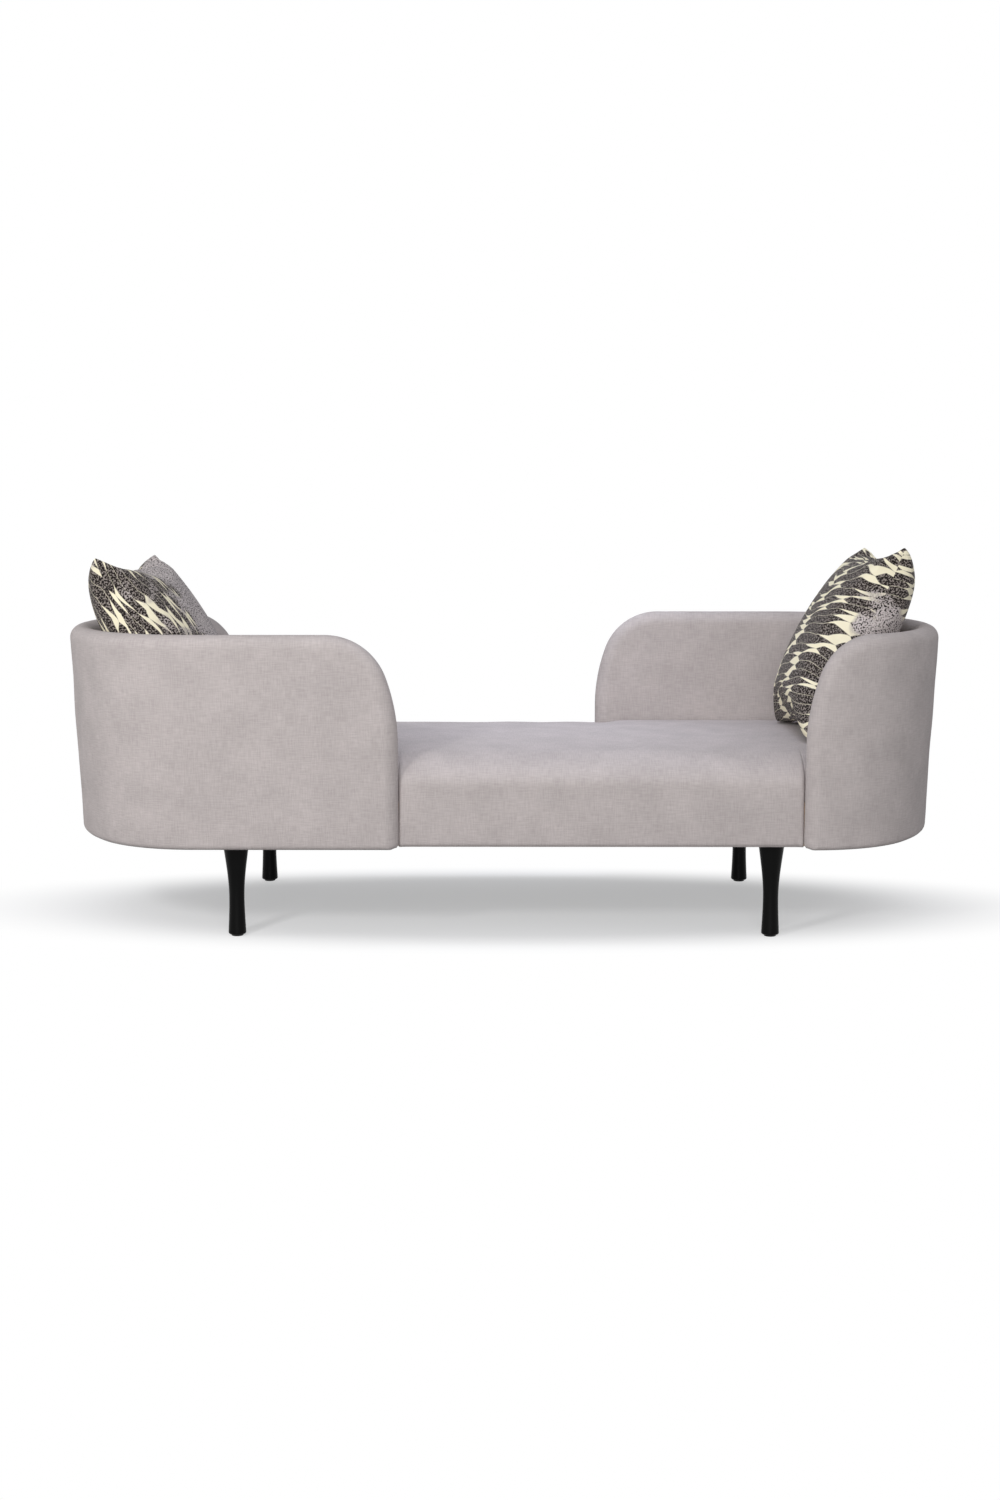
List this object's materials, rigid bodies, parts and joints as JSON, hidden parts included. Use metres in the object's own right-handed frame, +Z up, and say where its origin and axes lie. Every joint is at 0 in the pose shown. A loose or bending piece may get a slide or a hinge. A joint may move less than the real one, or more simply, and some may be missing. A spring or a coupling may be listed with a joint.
{
  "type": "chaise longue",
  "caption": "Double-ended upholstered chaise longue: wrap-around padded ends set opposite ways, a tight seat, turned black legs and loose scatter cushions.",
  "frame": {"origin": "on the floor, under the middle of the chaise", "axes": "+X along the seat towards the end whose long arm is at the back, +Y to the back, +Z up"},
  "size_m": [2.085, 0.8692, 0.8692],
  "materials": {
    "upholstery": "slubbed linen weave",
    "cushion_cloth": "printed jacquard",
    "leg_lacquer": "satin black lacquer",
    "frame_wood": "planed hardwood",
    "plywood": "bending plywood",
    "steel": "zinc plated",
    "glide": "moulded nylon",
    "webbing": "woven elastic",
    "foam": "cut foam",
    "filling": "loose fibre in a case",
    "felt": "needled felt",
    "dust_cloth": "non-woven cloth"
  },
  "bodies": {
    "chaise": {"left_end_bottom_rail": "frame_wood", "left_end_top_rail": "frame_wood", "left_end_uprights": "frame_wood", "left_end_outer_skin": "plywood", "left_end_inner_skin": "plywood", "left_end_foam": "foam", "left_end_cover": "upholstery", "left_end_bolts": "steel", "left_end_tee_nuts": "steel", "right_end_bottom_rail": "frame_wood", "right_end_top_rail": "frame_wood", "right_end_uprights": "frame_wood", "right_end_outer_skin": "plywood", "right_end_inner_skin": "plywood", "right_end_foam": "foam", "right_end_cover": "upholstery", "right_end_bolts": "steel", "right_end_tee_nuts": "steel", "front_rail": "frame_wood", "back_rail": "frame_wood", "left_bow_rail": "frame_wood", "right_bow_rail": "frame_wood", "rail_dowels": "frame_wood", "cross_rail_1": "frame_wood", "cross_rail_2": "frame_wood", "cross_rail_3": "frame_wood", "cross_rail_4": "frame_wood", "leg_block_front_left": "frame_wood", "leg_front_left": "leg_lacquer", "leg_plate_front_left": "steel", "foot_glide_front_left": "glide", "leg_block_front_right": "frame_wood", "leg_front_right": "leg_lacquer", "leg_plate_front_right": "steel", "foot_glide_front_right": "glide", "leg_block_back_left": "frame_wood", "leg_back_left": "leg_lacquer", "leg_plate_back_left": "steel", "foot_glide_back_left": "glide", "leg_block_back_right": "frame_wood", "leg_back_right": "leg_lacquer", "leg_plate_back_right": "steel", "foot_glide_back_right": "glide", "plate_screws": "steel", "hanger_bolts": "steel", "cross_webbing": "webbing", "long_webbing": "webbing", "seat_foam": "foam", "seat_cover": "upholstery", "front_border_foam": "foam", "back_border_foam": "foam", "deck_felt": "felt", "dust_cover": "dust_cloth"},
    "left_cushion": {"left_cushion_cover": "cushion_cloth", "left_cushion_filling": "filling"},
    "right_cushion": {"right_cushion_cover": "cushion_cloth", "right_cushion_filling": "filling"}
  },
  "joints": [
    {"name": "left_cushion_lift", "type": "slide", "parent": "chaise", "child": "left_cushion", "axis": [0, 0, 1], "range_m": [0, 0.5]},
    {"name": "right_cushion_lift", "type": "slide", "parent": "chaise", "child": "right_cushion", "axis": [0, 0, 1], "range_m": [0, 0.5]}
  ]
}
